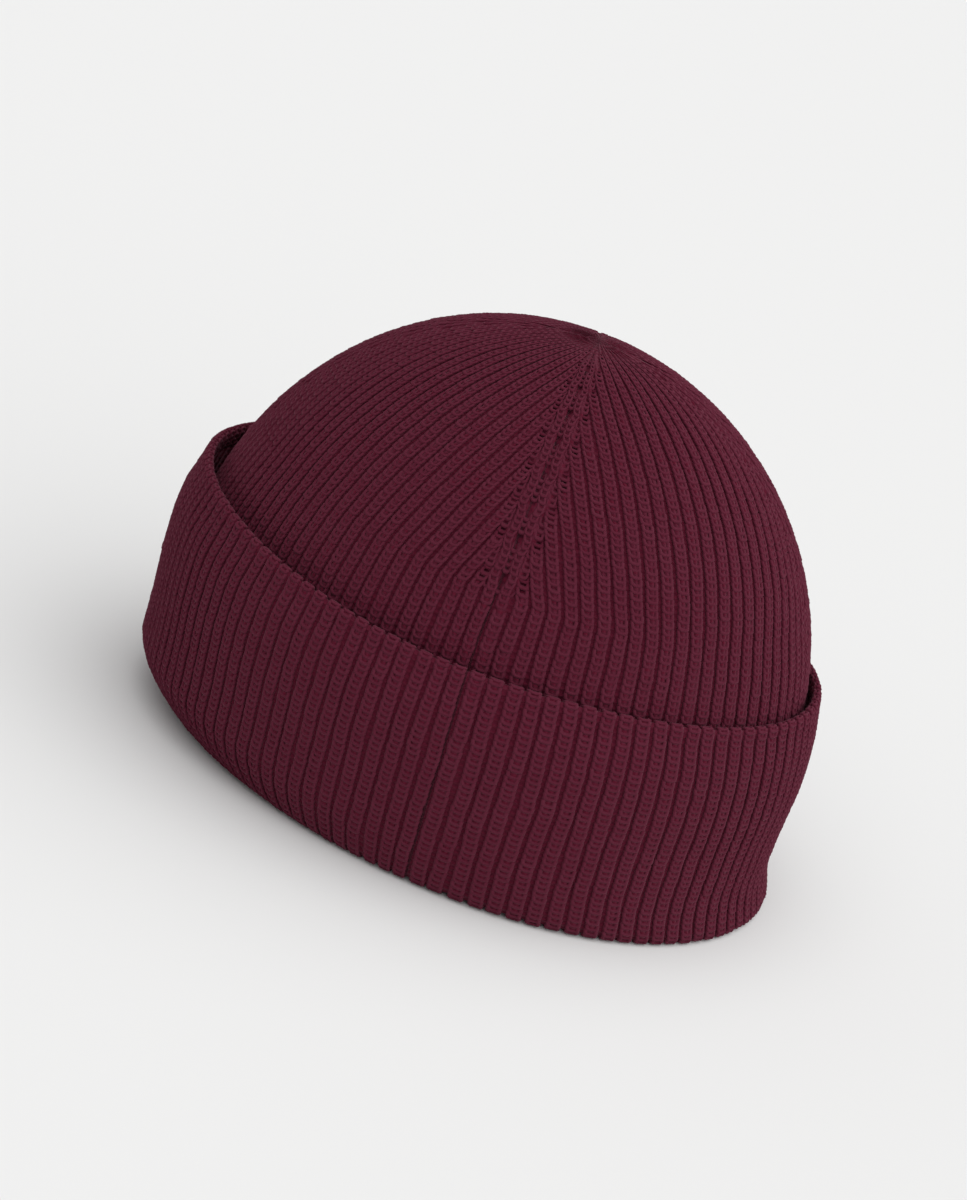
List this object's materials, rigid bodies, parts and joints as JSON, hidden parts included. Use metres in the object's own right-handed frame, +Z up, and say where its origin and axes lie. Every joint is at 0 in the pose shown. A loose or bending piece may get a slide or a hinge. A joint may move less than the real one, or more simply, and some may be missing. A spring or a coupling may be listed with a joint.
{
  "type": "ribbed knit beanie",
  "caption": "Close-fitting wool beanie in chunky rib knit with a deep turned-up cuff and decrease lines that meet at the top.",
  "frame": {"origin": "centre of the hat's box, on the plane of the opening where the folded hem rests", "axes": "+Z up through the crown, -Y towards the front of the hat, +X towards the wearer's left side"},
  "size_m": [0.1706, 0.2203, 0.158],
  "materials": {
    "crown_wool": "matte wine-red wool in chunky rib knit",
    "cuff_wool": "matte wine-red wool in chunky rib knit"
  },
  "bodies": {
    "root": {"crown": "crown_wool", "cuff": "cuff_wool"}
  },
  "joints": []
}
